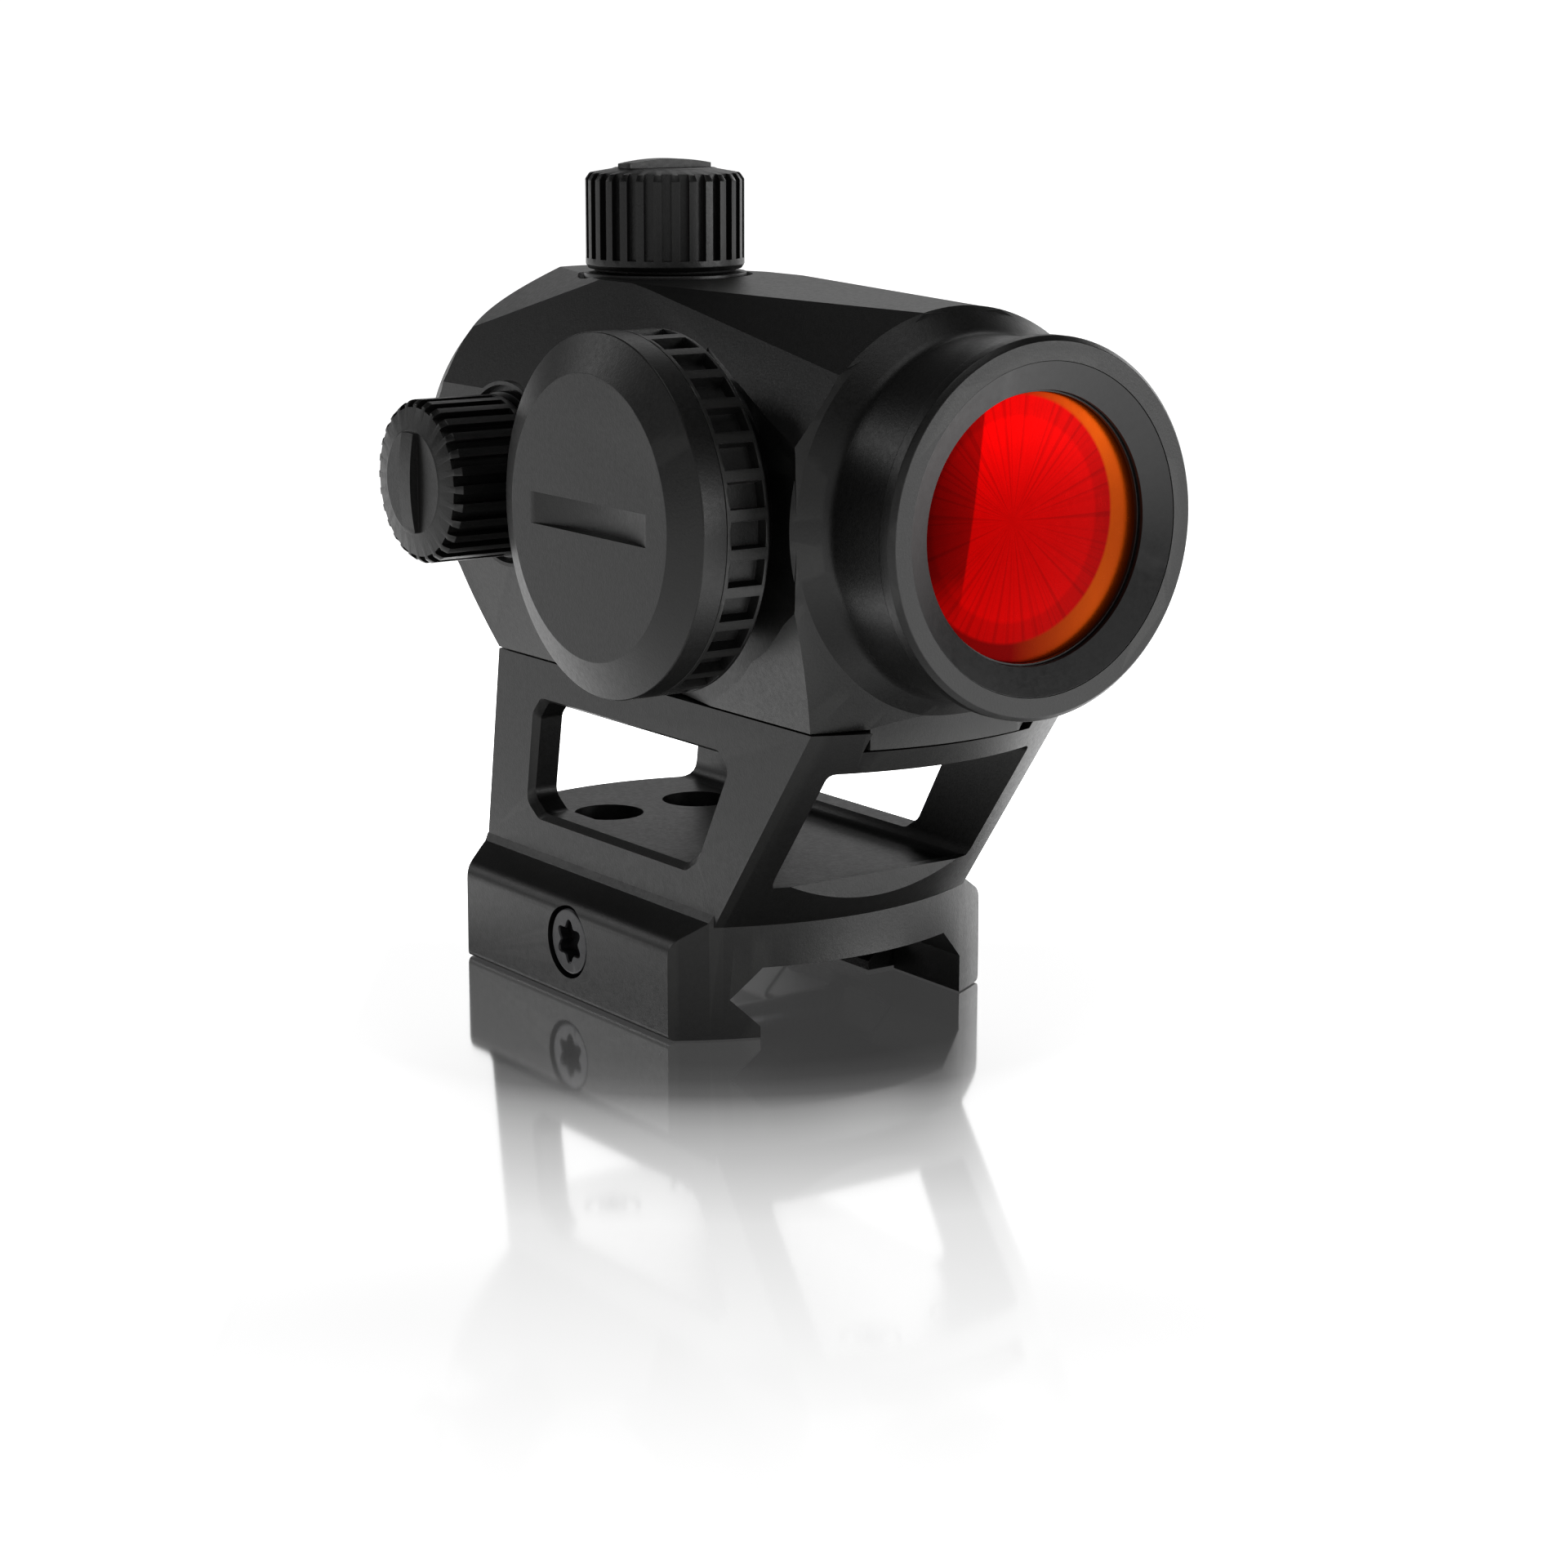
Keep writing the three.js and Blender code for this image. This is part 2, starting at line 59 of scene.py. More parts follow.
HOUSING_FLOOR_Z = 20.57
END_ARC = 0.021  # bow of the riser's ends, in mm per mm across squared
WALL_INNER_X = 9.5
DECK_Z = 6.35
ROOF_Z = 17.0
TURRET_Y = 7.6
PLATEAU_Z = 51.05
BOSS_X = 15.3
CAP_R = 6.43
GROOVES = 28
DIAL_Y = -17.44
DIAL_R = 13.39
POCKETS = 30
DIAL_EDGE_X = 20.2  # end of the pocketed ring, measured outwards
CAP_FACE_X = 23.397  # face of the battery cap
SCREW_Y = -0.6
SCREW_Z = -0.9
JAW_POCKET_HALF = 7.8
MOUNT_SCREWS = [(-4.4, -27.0), (4.4, -27.0), (-4.4, 10.0), (4.4, 10.0)]

# Local frames: the optical axis with heights as world y, and the three round groups.
BARREL = Matrix(((1, 0, 0, 0), (0, 0, 1, 0), (0, -1, 0, OPTIC_Z), (0, 0, 0, 1)))
ELEVATION = Matrix.Translation((0, TURRET_Y, PLATEAU_Z))
SIDEWAYS = Matrix(((0, 0, -1, 0), (0, 1, 0, 0), (1, 0, 0, 0), (0, 0, 0, 1)))
WINDAGE = Matrix.Translation((-BOSS_X, TURRET_Y, OPTIC_Z)) @ SIDEWAYS
DIAL = Matrix.Translation((0, DIAL_Y, OPTIC_Z)) @ SIDEWAYS

# Facets of the left-hand half of the housing, each as a normal and a point.
UPPER_FRONT = ((-0.797, -0.01, 0.604), (-14.69, -30.88, 41.73))
UPPER_REAR = ((-0.769, 0, 0.639), (-8.07, 0, 51.07))
TURRET_WEDGE = ((-0.765, -0.039, 0.643), (-8.08, -0.74, 51.0))
ROOF_FRONT = ((-0.463, -0.082, 0.882), (-8.05, -0.6, 51.0))
ROOF_REAR = ((-0.452, 0.165, 0.876), (-8.1, 4.6, 51.07))
UNDERCUT = ((-0.963, 0, -0.27), (-TOWER_HALF_W, 0, HOUSING_FLOOR_Z))

# The camera, in metres and radians.
CAMERA_AT = (-0.153426, -0.225718, 0.070378)
CAMERA_AZIMUTH, CAMERA_ELEVATION, CAMERA_ROLL = (math.radians(a) for a in (-35.3146, 12.4716, 0.0766))
CAMERA_LENS = 78.311

BODY_OF = {n: body for body, nodes in frame["record"]["behaviour"]["bodies"].items() for n in nodes}
SLOT_OF = {part["node"]: part["material_slot"] for part in frame["record"]["subparts"]}


# ---------- outlines ----------
def arc(radius, start, end, steps, centre=(0, 0)):
    """Points on an arc, angles in degrees, both ends included."""
    points = []
    for i in range(steps + 1):
        angle = math.radians(start + (end - start) * i / steps)
        points.append((centre[0] + radius * math.cos(angle), centre[1] + radius * math.sin(angle)))
    return points


def circle(radius, steps=64, centre=(0, 0)):
    return arc(radius, 0, 360, steps, centre)[:-1]


def rounded(corners, radii, steps=5):
    """A closed outline with its corners rounded; a radius of 0 keeps a corner."""
    if not isinstance(radii, list):
        radii = [radii] * len(corners)
    points = []
    for i, radius in enumerate(radii):
        here = Vector(corners[i])
        back = Vector(corners[i - 1]) - here
        onward = Vector(corners[(i + 1) % len(corners)]) - here
        if radius == 0:
            points.append(tuple(here))
            continue
        reach = radius / math.tan(back.angle(onward) / 2)
        reach = min(reach, back.length * 0.48, onward.length * 0.48)
        start = here + back.normalized() * reach
        end = here + onward.normalized() * reach
        for k in range(steps + 1):
            t = k / steps
            points.append(tuple(start * (1 - t) ** 2 + here * 2 * t * (1 - t) + end * t * t))
    return points


def bowed_plan(half_width, front, rear, steps=32):
    """A plan between two bowed ends, as (x, y)."""
    across = [-half_width + 2 * half_width * i / steps for i in range(steps + 1)]
    outline = [(x, front + END_ARC * x * x) for x in across]
    outline += [(x, rear - END_ARC * x * x) for x in reversed(across)]
    return outline


def star(outer, inner, steps=72):
    """A six-lobed driver recess."""
    outline = []
    for i in range(steps):
        angle = 2 * math.pi * i / steps
        radius = (outer + inner) / 2 + (outer - inner) / 2 * math.cos(6 * angle)
        outline.append((radius * math.cos(angle), radius * math.sin(angle)))
    return outline


# ---------- solids ----------
def solid(vertices, faces):
    mesh = bpy.data.meshes.new("work")
    mesh.from_pydata([tuple(v) for v in vertices], [], faces)
    bm = bmesh.new()
    bm.from_mesh(mesh)
    bmesh.ops.recalc_face_normals(bm, faces=bm.faces)
    bm.to_mesh(mesh)
    bm.free()
    obj = bpy.data.objects.new("work", mesh)
    bpy.context.scene.collection.objects.link(obj)
    return obj


def at(axis, a, b, height):
    return {"x": (height, a, b), "y": (b, height, a), "z": (a, b, height)}[axis]


def prism(axis, corners, start, end, end_corners=None, place=None):
    """An outline swept along an axis: (y, z) along x, (z, x) along y, (x, y) along z.
    With end_corners it tapers to a second outline with as many points."""
    count = len(corners)
    vertices = [at(axis, a, b, start) for a, b in corners]
    vertices += [at(axis, a, b, end) for a, b in end_corners or corners]
    if place:
        vertices = [place @ Vector(v) for v in vertices]
    faces = [list(range(count)), list(range(2 * count - 1, count - 1, -1))]
    for i in range(count):
        j = (i + 1) % count
        faces.append([i, j, count + j, count + i])
    return solid(vertices, faces)


def box(x0, x1, y0, y1, z0, z1, place=None):
    return prism("z", [(x0, y0), (x1, y0), (x1, y1), (x0, y1)], z0, z1, place=place)


def turned(outline, place, steps=96):
    """A closed (radius, height) outline turned about the local Z axis of place."""
    vertices = []
    rings = []
    for radius, height in outline:
        count = steps if radius > 0 else 1
        rings.append(range(len(vertices), len(vertices) + count))
        for i in range(count):
            angle = 2 * math.pi * i / steps
            vertices.append(place @ Vector((radius * math.cos(angle), radius * math.sin(angle), height)))
    above = rings[1:] + rings[:1] if outline[0][0] > 0 else rings[1:]
    faces = []
    for low, high in zip(rings, above):
        for i in range(steps):
            j = (i + 1) % steps
            corners = [low[i % len(low)], low[j % len(low)], high[j % len(high)], high[i % len(high)]]
            faces.append(list(dict.fromkeys(corners)))
    return solid(vertices, faces)


def bake(obj):
    bpy.context.view_layer.update()
    graph = bpy.context.evaluated_depsgraph_get()
    mesh = bpy.data.meshes.new_from_object(obj.evaluated_get(graph))
    obj.modifiers.clear()
    obj.data = mesh


def combine(obj, other, operation):
    modifier = obj.modifiers.new("combine", "BOOLEAN")
    modifier.operation = operation
    modifier.solver = "MANIFOLD"
    modifier.object = other
    bake(obj)
    bpy.data.objects.remove(other)
    return obj


def cut(obj, *others):
    for other in others:
        combine(obj, other, "DIFFERENCE")
    return obj


def join(obj, *others):
    for other in others:
        combine(obj, other, "UNION")
    return obj


def keep(obj, other):
    return combine(obj, other, "INTERSECT")


def side_by_side(objects):
    """One mesh of several that don't touch, for a single cut."""
    bm = bmesh.new()
    for obj in objects:
        bm.from_mesh(obj.data)
    first = objects[0]
    bm.to_mesh(first.data)
    bm.free()
    for obj in objects[1:]:
        bpy.data.objects.remove(obj)
    return first


def around(count, place, make):
    """Cutters spread evenly about the local Z axis of place, as one mesh."""
    cutters = []
    for i in range(count):
        cutters.append(make(place @ Matrix.Rotation(2 * math.pi * (i + 0.5) / count, 4, "Z")))
    return side_by_side(cutters)


def beyond(normal, point):
    """The half space beyond a plane, for cutting."""
    n = Vector(normal).normalized()
    place = Matrix.Translation(point) @ n.to_track_quat("Z", "Y").to_matrix().to_4x4()
    return box(-150, 150, -150, 150, 0, 100, place)


def mirrored(v):
    return (-v[0], v[1], v[2])


def both_sides(normal, point):
    """Half spaces beyond a plane and beyond its mirror image in x = 0."""
    return [beyond(normal, point), beyond(mirrored(normal), mirrored(point))]


def lean(obj, slope):
    """Shears a solid: y grows by slope for each mm of height above the shoulder."""
    for v in obj.data.vertices:
        v.co.y += slope * (v.co.z - SHOULDER_Z)
    return obj


# ---------- materials ----------
def shader(name, **sockets):
    material = bpy.data.materials.new(name)
    material.use_nodes = True
    principled = material.node_tree.nodes["Principled BSDF"]
    for key, value in sockets.items():
        principled.inputs[key.replace("_", " ")].default_value = value
    return material, material.node_tree, principled


def node(tree, kind, **settings):
    made = tree.nodes.new(kind)
    for key, value in settings.items():
        setattr(made, key, value)
    return made


def noise(tree, scale, detail=3, roughness=0.6, stretch=None):
    place = node(tree, "ShaderNodeTexCoord")
    texture = node(tree, "ShaderNodeTexNoise")
    texture.inputs["Scale"].default_value = scale
    texture.inputs["Detail"].default_value = detail
    texture.inputs["Roughness"].default_value = roughness
    source = place.outputs["Object"]
    if stretch:
        mapping = node(tree, "ShaderNodeMapping")
        mapping.inputs["Scale"].default_value = stretch
        tree.links.new(source, mapping.inputs["Vector"])
        source = mapping.outputs["Vector"]
    tree.links.new(source, texture.inputs["Vector"])
    return texture.outputs["Fac"]


def ramp(tree, source, stops):
    made = node(tree, "ShaderNodeValToRGB")
    elements = made.color_ramp.elements
    for element, (position, colour) in zip(elements, stops[:2]):
        element.position = position
        element.color = colour
    for position, colour in stops[2:]:
        elements.new(position).color = colour
    tree.links.new(source, made.inputs["Fac"])
    return made.outputs["Color"]


def grey(value):
    return (value, value, value, 1)


def scaled(colour, factor):
    return tuple(min(c * factor, 1) for c in colour) + (1,)


def blend(tree, kind, factor, a, b):
    mix = node(tree, "ShaderNodeMix", data_type="RGBA", blend_type=kind)
    if isinstance(factor, float):
        mix.inputs["Factor"].default_value = factor
    else:
        tree.links.new(factor, mix.inputs["Factor"])
    for index, source in ((6, a), (7, b)):
        if isinstance(source, tuple):
            mix.inputs[index].default_value = source
        else:
            tree.links.new(source, mix.inputs[index])
    return mix.outputs[2]


def shine(tree, principled, source, low, high):
    """Roughness between two (source value, roughness) pairs."""
    stops = [(low[0], grey(low[1])), (high[0], grey(high[1]))]
    tree.links.new(ramp(tree, source, stops), principled.inputs["Roughness"])


def bump(tree, principled, height, strength, distance):
    made = node(tree, "ShaderNodeBump")
    made.inputs["Strength"].default_value = strength
    made.inputs["Distance"].default_value = distance
    tree.links.new(height, made.inputs["Height"])
    tree.links.new(made.outputs["Normal"], principled.inputs["Normal"])


def finish_metal(name, colour, rough, metallic, grain, grain_scale, edge_highlight_gain=1.6, stretch=None):
    """Metal with cloudy colour, fine grain in roughness and height, and edges painted paler as a highlight.
    """
    material, tree, principled = shader(name, Metallic=metallic)
    cloud = ramp(tree, noise(tree, 120), [(0.3, scaled(colour, 0.82)), (0.7, scaled(colour, 1.18))])
    speck = ramp(tree, noise(tree, grain_scale, 2, 0.5, stretch), [(0.3, grey(0.75)), (0.7, grey(1.25))])
    base = blend(tree, "MULTIPLY", 1.0, cloud, speck)
    # Painted highlight: edges found by pointiness are painted paler.
    edge = node(tree, "ShaderNodeNewGeometry").outputs["Pointiness"]
    painted_edge_highlight = ramp(tree, edge, [(0.53, grey(0)), (0.62, grey(0.6))])
    base = blend(tree, "MIX", painted_edge_highlight, base, scaled(colour, edge_highlight_gain))
    tree.links.new(base, principled.inputs["Base Color"])
    streaks = noise(tree, grain_scale * 0.5, 4, 0.6, stretch)
    shine(tree, principled, streaks, (0.25, rough - 0.05), (0.75, rough + 0.06))
    bump(tree, principled, noise(tree, grain_scale, 3, 0.6, stretch), grain, 0.00003)
    return material


def finish_rubber():
    material, tree, principled = shader("Nitrile", Metallic=0.0)
    base = ramp(tree, noise(tree, 900), [(0.3, grey(0.008)), (0.7, grey(0.018))])
    tree.links.new(base, principled.inputs["Base Color"])
    shine(tree, principled, noise(tree, 2500), (0, 0.6), (1, 0.85))
    bump(tree, principled, noise(tree, 2500), 0.3, 0.00002)
    return material


def finish_board():
    material, tree, principled = shader("SolderResist", Metallic=0.0)
    base = ramp(tree, noise(tree, 700, 5, 0.7), [(0.45, (0.01, 0.09, 0.03, 1)), (0.5, (0.02, 0.16, 0.06, 1))])
    tree.links.new(base, principled.inputs["Base Color"])
    shine(tree, principled, noise(tree, 1500), (0, 0.3), (1, 0.5))
    bump(tree, principled, noise(tree, 700, 5, 0.7), 0.2, 0.00004)
    return material


def finish_clear(name, tint, rough):
    material, tree, principled = shader(name, Metallic=0.0, Transmission_Weight=0.92, IOR=1.5)
    base = ramp(tree, noise(tree, 200), [(0.3, scaled(tint, 0.94)), (0.7, scaled(tint, 1.0))])
    tree.links.new(base, principled.inputs["Base Color"])
    shine(tree, principled, noise(tree, 3000), (0.3, rough), (0.7, rough + 0.03))
    return material


def maths(tree, operation, a, b=None):
    made = node(tree, "ShaderNodeMath", operation=operation)
    for index, source in enumerate((a, b)):
        if isinstance(source, (int, float)):
            made.inputs[index].default_value = source
        elif source is not None:
            tree.links.new(source, made.inputs[index])
    return made.outputs[0]


def finish_coating():
    """Red reflective coating, with light painted in: fine rays, a painted shadow of the inner tube on one
    side, a ring darker towards the rim, an orange painted reflection at the edge and a faint painted glow. x
    and z are millimetres from the optical axis; the rays and the fringe have centres of their own."""
    material, tree, principled = shader("RedCoating", Metallic=1.0)
    split = node(tree, "ShaderNodeSeparateXYZ")
    tree.links.new(node(tree, "ShaderNodeTexCoord").outputs["Object"], split.inputs[0])
    x = maths(tree, "MULTIPLY", split.outputs["X"], 1000)
    z = maths(tree, "SUBTRACT", maths(tree, "MULTIPLY", split.outputs["Z"], 1000), OPTIC_Z)
    angle = maths(tree, "ARCTAN2", maths(tree, "SUBTRACT", z, 0.7), maths(tree, "ADD", x, 1.9))
    spokes = node(tree, "ShaderNodeTexNoise", noise_dimensions="1D")
    spokes.inputs["Scale"].default_value = 16
    spokes.inputs["Detail"].default_value = 5
    tree.links.new(angle, spokes.inputs["W"])
    rays = ramp(tree, spokes.outputs["Fac"], [(0.36, grey(0.78)), (0.5, grey(1.0))])
    # Painted shadow of the inner tube: a dark strip on one side, fading out towards the bottom.
    side = maths(tree, "SUBTRACT", x, maths(tree, "MULTIPLY", z, 0.157))
    place = maths(tree, "ADD", maths(tree, "MULTIPLY", side, 0.05), 0.5)
    painted_tube_shadow = ramp(tree, place, [(0.05, grey(0.2)), (0.219, grey(0.42)), (0.226, grey(1))])
    height = maths(tree, "ADD", maths(tree, "MULTIPLY", z, 0.05), 0.5)
    shaded = ramp(tree, height, [(0.18, grey(0)), (0.36, grey(1))])
    painted_tube_shadow = blend(tree, "MIX", shaded, grey(1), painted_tube_shadow)
    red = blend(tree, "MULTIPLY", 1.0, blend(tree, "MULTIPLY", 1.0, rays, painted_tube_shadow), (0.24, 0.0, 0.0, 1))
    across = maths(tree, "POWER", maths(tree, "ADD", x, 1.5), 2)
    upward = maths(tree, "POWER", maths(tree, "SUBTRACT", z, 0.7), 2)
    away = maths(tree, "MULTIPLY", maths(tree, "SQRT", maths(tree, "ADD", across, upward)), 0.1)
    band = ramp(tree, away, [(0.72, grey(1)), (0.75, grey(0.8)), (0.86, grey(0.74))])
    red = blend(tree, "MULTIPLY", 1.0, red, band)
    # Painted reflection: an orange fringe at the rim of the coating, brighter towards the right.
    rightward = maths(tree, "ADD", maths(tree, "MULTIPLY", x, 0.05), 0.5)
    painted_edge_reflection = ramp(
        tree,
        rightward,
        [(0.42, (0.07, 0.0, 0.0, 1)), (0.62, (0.13, 0.012, 0.0, 1)), (0.8, (0.2, 0.025, 0.0, 1))],
    )
    outer = ramp(tree, away, [(0.875, grey(0)), (0.9, grey(1))])
    colour = blend(tree, "MIX", outer, red, painted_edge_reflection)
    tree.links.new(colour, principled.inputs["Base Color"])
    # Painted glow: the coating gives off a little light in its own colour although it is no lamp.
    tree.links.new(colour, principled.inputs["Emission Color"])
    principled.inputs["Emission Strength"].default_value = 0.1
    shine(tree, principled, noise(tree, 1500), (0, 0.22), (1, 0.3))
    return material


FINISHES = {
    "anodised_black": finish_metal("BlastedBlack", (0.0045, 0.0045, 0.0043), 0.38, 0.3, 0.4, 5200, 4.0),
    "anodised_insert": finish_metal("TurnedBlack", (0.0045, 0.0045, 0.0045), 0.36, 0.3, 0.2, 3500, 3.5),
    "black_steel": finish_metal("OxideSteel", (0.022, 0.022, 0.024), 0.32, 0.6, 0.2, 4200),
    "plated_steel": finish_metal("NickelPlate", (0.55, 0.55, 0.56), 0.24, 1.0, 0.1, 3000, 1.15),
    "spring_steel": finish_metal("SpringSteel", (0.36, 0.36, 0.37), 0.3, 1.0, 0.2, 2500, 1.2, (1, 8, 1)),
    "brass": finish_metal("TurnedBrass", (0.58, 0.4, 0.16), 0.28, 1.0, 0.15, 2500, 1.25),
    "seal_rubber": finish_rubber(),
    "board_green": finish_board(),
    "coated_glass": finish_coating(),
    "clear_glass": finish_clear("ClearGlass", (0.86, 0.93, 0.95), 0.02),
    "diode_red": finish_clear("DiodeRed", (0.9, 0.03, 0.02), 0.15),
}


# ---------- finishing a piece ----------
def complete(obj, stands_for, bevel=0.0, limit=14, segments=3):
    """Cleans a solid, rounds its edges, paints it and puts it in place of its CAD node."""
    bm = bmesh.new()
    bm.from_mesh(obj.data)
    bmesh.ops.remove_doubles(bm, verts=bm.verts, dist=0.004)
    bmesh.ops.dissolve_limit(
        bm, angle_limit=math.radians(0.4), verts=bm.verts, edges=bm.edges, delimit={"NORMAL"}
    )
    bmesh.ops.recalc_face_normals(bm, faces=bm.faces)
    bm.to_mesh(obj.data)
    bm.free()
    obj.data.transform(Matrix.Scale(0.001, 4))
    if bevel:
        modifier = obj.modifiers.new("edges", "BEVEL")
        modifier.width = bevel / 1000
        modifier.segments = segments
        modifier.limit_method = "ANGLE"
        modifier.angle_limit = math.radians(limit)
        modifier.miter_outer = "MITER_ARC"
        bake(obj)
    obj.data.shade_smooth()
    obj.data.set_sharp_from_angle(angle=math.radians(32))
    weighted = obj.modifiers.new("normals", "WEIGHTED_NORMAL")
    weighted.keep_sharp = True
    bake(obj)
    obj.name = stands_for + "_detail"
    obj.data.name = obj.name
    obj.data.materials.clear()
    obj.data.materials.append(FINISHES[SLOT_OF[stands_for]])
    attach(obj, BODY_OF[stands_for])
    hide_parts(stands_for)
    return obj


# ---------- riser ----------
def leaned_front():
    """A tall block whose bowed front leans as the tower's front does."""
    plan = bowed_plan(TOWER_HALF_W, -20.3, 60)
    return lean(prism("z", plan, SHOULDER_Z - 1, TOWER_TOP_Z), -0.7392)


def make_riser():
    section = rounded(
        [
            (BASE_FLOOR_Z, -BASE_HALF_W),
            (2.05, -BASE_HALF_W),
            (SHOULDER_Z, -TOWER_HALF_W - 0.35),
            (SHOULDER_Z + 0.6, -TOWER_HALF_W),
            (SHOULDER_Z + 0.6, TOWER_HALF_W),
            (SHOULDER_Z, TOWER_HALF_W + 0.35),
            (2.05, BASE_HALF_W),
            (BASE_FLOOR_Z, BASE_HALF_W),
            (BASE_FLOOR_Z, 11.7),
            (-2.54, 11.7),
            (0, 9.16),
            (0, -8.58),
            (-2.42, -11.0),
            (-4.67, -8.75),
            (BASE_FLOOR_Z, -8.75),
        ],
        [0.5, 1.6, 0, 0, 0, 0, 1.6, 0.5, 0, 0, 0, 0, 0, 0, 0],
    )
    riser = prism("y", section, -30, 30)
    keep(riser, prism("z", bowed_plan(BASE_HALF_W + 0.1, -BASE_HALF_L, BASE_HALF_L), BASE_FLOOR_Z - 1, 30))

    tower = leaned_front()
    rear_plan = bowed_plan(TOWER_HALF_W + 1, -80, 20.0)
    keep(tower, lean(prism("z", rear_plan, SHOULDER_Z - 2, TOWER_TOP_Z + 1), -0.1409))
    hollow = [
        (DECK_Z, -WALL_INNER_X),
        (ROOF_Z, -WALL_INNER_X),
        (ROOF_Z, WALL_INNER_X),
        (DECK_Z, WALL_INNER_X),
    ]
    cut(tower, prism("y", rounded(hollow, [1.4, 0.6, 0.6, 1.4]), -60, 60))
    cut(tower, box(-7.82, 7.82, -60, 60, TOWER_TOP_Z - 1.6, TOWER_TOP_Z + 3))

    window = [
        (7.61, 16.94),
        (-17.24, 17.0),
        (-18.6, 15.67),
        (-14.35, 8.6),
        (-12.68, 7.55),
        (8.21, 7.52),
        (10.07, 8.74),
        (8.91, 15.54),
    ]
    radii = [1.0, 1.2, 1.0, 1.4, 1.4, 1.2, 1.2, 1.0]
    inner = rounded(window, radii)
    cut(tower, prism("x", inner, -30, 30))
    # The window's edge widens towards the outside of each wall.
    wide = [(y + (0.45 if y > -5 else -0.45), z + (0.35 if z > 12 else -0.5)) for y, z in window]
    outer = rounded(wide, radii)
    for side in (-1, 1):
        cut(tower, prism("x", outer, side * (TOWER_HALF_W + 0.02), side * (TOWER_HALF_W - 0.55), inner))
    join(riser, tower)
    # The sill of the front window stands a little above the floor, with an upright flat in front.
    sill_profile = [(-20.4, 6.2), (-20.4, 6.9), (-25, 6.8), (-25, 5.5)]
    sill = prism("x", sill_profile, -WALL_INNER_X - 0.5, WALL_INNER_X + 0.5)
    keep(sill, leaned_front())
    join(riser, sill)
    cut(riser, box(-12, 12, -60, -21.3, SHOULDER_Z, 7.0))

    # The clamp bar's pocket, open downwards, with a slot above it for the bar's flange.
    near = SCREW_Y - JAW_POCKET_HALF
    far = SCREW_Y + JAW_POCKET_HALF
    pocket = [(near, BASE_FLOOR_Z - 1), (far, BASE_FLOOR_Z - 1), (far, -0.05), (near, -0.05)]
    cut(riser, prism("x", rounded(pocket, [0, 0, 0.8, 0.8]), 8.0, 14.3))
    cut(riser, box(10.8, 14.3, near, far, -1, 1.9))
    cut(riser, prism("x", circle(2.95, 48, (SCREW_Y, SCREW_Z)), -20, -13.0))
    cut(riser, prism("x", circle(1.85, 40, (SCREW_Y, SCREW_Z)), -14, 12))
    for x, y in MOUNT_SCREWS:
        cut(riser, prism("z", circle(2.45, 48, (x, y)), ROOF_Z - 0.5, ROOF_Z + 0.95))
        cut(riser, prism("z", circle(1.75, 32, (x, y)), ROOF_Z + 0.5, TOWER_TOP_Z + 1))
        if y > 0:
            cut(riser, prism("z", circle(2.9, 48, (x, y)), BASE_FLOOR_Z - 1, DECK_Z + 1))
    return riser


complete(make_riser(), "riser_base", 0.22, 24)


def make_clamp_bar():
    section = [
        (-0.35, 9.6),
        (-2.4, 11.65),
        (-4.7, 9.35),
        (BASE_FLOOR_Z + 0.1, 9.35),
        (BASE_FLOOR_Z + 0.1, 12.85),
        (1.55, 12.85),
        (1.55, 11.25),
        (-0.35, 11.25),
    ]
    bar = prism("y", section, SCREW_Y - 7.45, SCREW_Y + 7.45)
    return cut(bar, prism("x", circle(1.8, 40, (SCREW_Y, SCREW_Z)), 5, 15))


complete(make_clamp_bar(), "clamp_bar", 0.2, 24)


def make_screw(place, head_r, head, shank_r, length, recess, depth):
    """A screw whose head top is at the local origin, looking along local +Z."""
    outline = [(0, 0), (head_r, 0), (head_r, -head), (shank_r, -head), (shank_r, -length), (0, -length)]
    screw = turned(rounded(outline, [0, 0.3, 0.1, 0, 0.2, 0], 3), place, 72)
    wide = [(x * 1.12, y * 1.12) for x, y in star(recess, recess * 0.7)]
    cut(screw, prism("z", star(recess, recess * 0.7), -depth, 0.5, place=place))
    return cut(screw, prism("z", star(recess, recess * 0.7), -0.12, 0.05, wide, place))


clamp_head = Matrix.Translation((-15.0, SCREW_Y, SCREW_Z)) @ SIDEWAYS
complete(make_screw(clamp_head, 2.72, 1.8, 1.5, 27.6, 1.7, 1.1), "clamp_screw")
for number, (x, y) in enumerate(MOUNT_SCREWS, 1):
    facing_down = Matrix.Translation((x, y, ROOF_Z + 0.1)) @ Matrix.Rotation(math.pi, 4, "X")
    complete(make_screw(facing_down, 2.2, 0.75, 1.4, 5.5, 1.4, 0.45), f"mount_screw_{number}")


# ---------- housing ----------
def dial_side():
    """What lies outside the side plane by the dial; it twists a little from top to bottom."""
    vertices = []
    steps = 10
    for i in range(steps + 1):
        t = i / steps
        z = 18 + 36 * t
        along = Vector((0.170 + 0.081 * t, 0.985 - 0.017 * t, 0)).normalized()
        start = Vector((-14.69, -30.88, z))
        outward = Vector((-20, 0, 0))
        near = start - 14 * along
        far = start + (60 if z < 30 else 17) * along
        vertices += [near, far, far + outward, near + outward]
    faces = [[3, 2, 1, 0], [4 * steps + k for k in range(4)]]
    for i in range(steps):
        for k in range(4):
            m = (k + 1) % 4
            faces.append([4 * i + k, 4 * i + m, 4 * i + 4 + m, 4 * i + 4 + k])
    return solid(vertices, faces)


